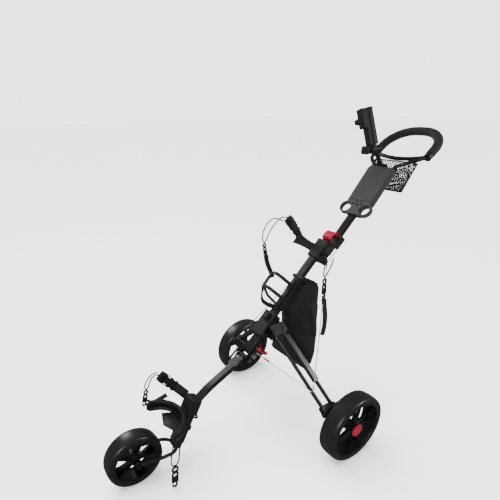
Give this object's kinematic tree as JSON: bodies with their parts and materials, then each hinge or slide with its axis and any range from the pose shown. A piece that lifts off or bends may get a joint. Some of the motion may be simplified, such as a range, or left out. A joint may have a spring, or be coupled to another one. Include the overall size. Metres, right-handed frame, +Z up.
{
  "type": "golf push cart",
  "caption": "Three-wheel folding golf push cart with bag brackets and straps, storage pouch, console with ball rings, umbrella holder, loop handle and net basket.",
  "frame": {"origin": "centre of the cart's footprint box on the ground", "axes": "+X to the walker's left, -Y the way the cart is pushed, +Z up"},
  "size_m": [0.756, 1.588, 1.3124],
  "materials": {
    "tyre": "satin rubber",
    "foam": "matt foam",
    "pouch_fabric": "woven polyester",
    "webbing": "woven nylon",
    "elastic_cord": "braided",
    "net": "knotted net",
    "red_plastic": "satin",
    "steel": "brushed",
    "wire": "stranded",
    "black_paint": "satin black powder coat on aluminium tube",
    "black_plastic": "fine texture",
    "grey_plastic": "fine texture",
    "rim_plastic": "satin"
  },
  "bodies": {
    "frame": {"main_tube": "black_paint", "hub_housing": "black_plastic", "leg_brackets": "black_plastic", "collar": "black_plastic", "upper_bag_bracket": "black_plastic", "frame_bolts": "steel", "bottle_cage": "black_plastic", "storage_pouch": "pouch_fabric", "brake_bracket": "black_plastic", "stay_cables": "wire", "brake_cables": "wire", "upper_strap_webbing": "webbing", "upper_strap_fittings": "black_plastic", "upper_left_elastic": "elastic_cord", "upper_right_elastic": "elastic_cord"},
    "pedal": {"brake_pedal": "red_plastic"},
    "front": {"front_tube": "black_paint", "fork_housing": "black_plastic", "fork": "black_plastic", "lower_bag_cradle": "black_plastic", "front_axle": "steel", "lower_strap_webbing": "webbing", "lower_strap_fittings": "black_plastic", "lower_left_elastic": "elastic_cord", "lower_right_elastic": "elastic_cord"},
    "front_knob": {"release_knob": "red_plastic"},
    "front_wheel": {"front_rim": "rim_plastic", "front_tyre": "tyre", "front_bearings": "steel"},
    "handle": {"handle_tube": "black_paint", "latch_bracket": "black_plastic", "console_base": "grey_plastic", "umbrella_bracket": "black_plastic", "handle_loop": "black_paint", "foam_grip": "foam", "grip_clamps": "black_plastic", "basket_wire": "black_paint", "basket_net": "net", "handle_stay_cables": "wire"},
    "latch": {"latch_lever": "red_plastic"},
    "lid": {"console_lid": "grey_plastic"},
    "umbrella": {"umbrella_tube": "black_plastic"},
    "tilt_knob": {"umbrella_tilt_knob": "black_plastic"},
    "clamp_knob": {"umbrella_clamp_knob": "black_plastic"},
    "left_front_leg": {"left_front_leg_tube": "black_paint"},
    "left_rear_leg": {"left_rear_leg_tube": "black_paint"},
    "left_carrier": {"left_wheel_carrier": "black_plastic", "left_axle": "steel"},
    "left_wheel": {"left_rim": "rim_plastic", "left_tyre": "tyre", "left_bearings": "steel"},
    "left_button": {"left_hub_button": "red_plastic"},
    "right_front_leg": {"right_front_leg_tube": "black_paint"},
    "right_rear_leg": {"right_rear_leg_tube": "black_paint"},
    "right_carrier": {"right_wheel_carrier": "black_plastic", "right_axle": "steel"},
    "right_wheel": {"right_rim": "rim_plastic", "right_tyre": "tyre", "right_bearings": "steel"},
    "right_button": {"right_hub_button": "red_plastic"}
  },
  "joints": [
    {"name": "handle_fold", "type": "hinge", "parent": "frame", "child": "handle", "pos_m": [0, 0.22802, 0.71655], "axis": [-1, 0, 0], "range_deg": [0, 155], "deforming": ["storage_pouch", "stay_cables", "brake_cables"]},
    {"name": "front_fold", "type": "hinge", "parent": "frame", "child": "front", "pos_m": [0, -0.16615, 0.3815], "axis": [-1, 0, 0], "range_deg": [0, 115]},
    {"name": "front_wheel_spin", "type": "hinge", "parent": "front", "child": "front_wheel", "pos_m": [0, -0.68015, 0.1139], "axis": [1, 0, 0], "continuous": true},
    {"name": "release_knob_pull", "type": "slide", "parent": "front", "child": "front_knob", "axis": [0, -0.907, 0.421], "range_m": [0, 0.004], "stiffness_N_per_m": 500},
    {"name": "latch_lever_open", "type": "hinge", "parent": "handle", "child": "latch", "pos_m": [0, 0.29163, 0.82068], "axis": [-1, 0, 0], "range_deg": [0, 35], "stiffness_Nm_per_rad": 0.6},
    {"name": "console_lid_open", "type": "hinge", "parent": "handle", "child": "lid", "pos_m": [0, 0.5364, 1.07293], "axis": [-1, 0, 0], "range_deg": [0, 58]},
    {"name": "umbrella_tilt", "type": "hinge", "parent": "handle", "child": "umbrella", "pos_m": [0, 0.45985, 1.151], "axis": [0, 1, 0], "range_deg": [-60, 100]},
    {"name": "tilt_knob_turn", "type": "hinge", "parent": "handle", "child": "tilt_knob", "pos_m": [0, 0.45985, 1.151], "axis": [0, 1, 0], "continuous": true},
    {"name": "clamp_knob_turn", "type": "hinge", "parent": "umbrella", "child": "clamp_knob", "pos_m": [-0.04196, 0.45985, 1.25484], "axis": [0, 1, 0], "continuous": true},
    {"name": "brake_pedal_press", "type": "hinge", "parent": "frame", "child": "pedal", "pos_m": [0, -0.08957, 0.41722], "axis": [-1, 0, 0], "range_deg": [0, 25], "stiffness_Nm_per_rad": 1.2},
    {"name": "left_front_leg_swing", "type": "hinge", "parent": "frame", "child": "left_front_leg", "pos_m": [0.045, -0.05015, 0.474], "axis": [-0.7088, 0.028, -0.7048], "range_deg": [0, 65.2], "deforming": ["storage_pouch", "stay_cables", "brake_cables"]},
    {"name": "left_rear_leg_swing", "type": "hinge", "parent": "frame", "child": "left_rear_leg", "pos_m": [0.045, -0.00315, 0.476], "axis": [-0.7088, 0.028, -0.7048], "range_deg": [0, 65.2]},
    {"name": "left_carrier_swing", "type": "hinge", "parent": "left_front_leg", "child": "left_carrier", "pos_m": [0.28526, 0.00802, 0.23478], "axis": [-0.7088, 0.028, -0.7048], "range_deg": [-65.2, 0]},
    {"name": "left_wheel_spin", "type": "hinge", "parent": "left_carrier", "child": "left_wheel", "pos_m": [0.342, 0.11585, 0.146], "axis": [1, 0, 0], "continuous": true},
    {"name": "left_hub_button_press", "type": "slide", "parent": "left_wheel", "child": "left_button", "axis": [-1, 0, 0], "range_m": [0, 0.0025], "stiffness_N_per_m": 500},
    {"name": "right_front_leg_swing", "type": "hinge", "parent": "frame", "child": "right_front_leg", "pos_m": [-0.045, -0.05015, 0.474], "axis": [-0.7088, -0.028, 0.7048], "range_deg": [0, 65.2], "deforming": ["storage_pouch", "stay_cables", "brake_cables"]},
    {"name": "right_rear_leg_swing", "type": "hinge", "parent": "frame", "child": "right_rear_leg", "pos_m": [-0.045, -0.00315, 0.476], "axis": [-0.7088, -0.028, 0.7048], "range_deg": [0, 65.2]},
    {"name": "right_carrier_swing", "type": "hinge", "parent": "right_front_leg", "child": "right_carrier", "pos_m": [-0.28526, 0.00802, 0.23478], "axis": [-0.7088, -0.028, 0.7048], "range_deg": [-65.2, 0]},
    {"name": "right_wheel_spin", "type": "hinge", "parent": "right_carrier", "child": "right_wheel", "pos_m": [-0.342, 0.11585, 0.146], "axis": [1, 0, 0], "continuous": true},
    {"name": "right_hub_button_press", "type": "slide", "parent": "right_wheel", "child": "right_button", "axis": [1, 0, 0], "range_m": [0, 0.0025], "stiffness_N_per_m": 500}
  ],
  "couplings": [
    {"joint": "left_front_leg_swing", "follows": "handle_fold", "ratio": 0.41935},
    {"joint": "left_rear_leg_swing", "follows": "handle_fold", "ratio": 0.41935},
    {"joint": "left_carrier_swing", "follows": "handle_fold", "ratio": -0.41935},
    {"joint": "right_front_leg_swing", "follows": "handle_fold", "ratio": 0.41935},
    {"joint": "right_rear_leg_swing", "follows": "handle_fold", "ratio": 0.41935},
    {"joint": "right_carrier_swing", "follows": "handle_fold", "ratio": -0.41935}
  ]
}
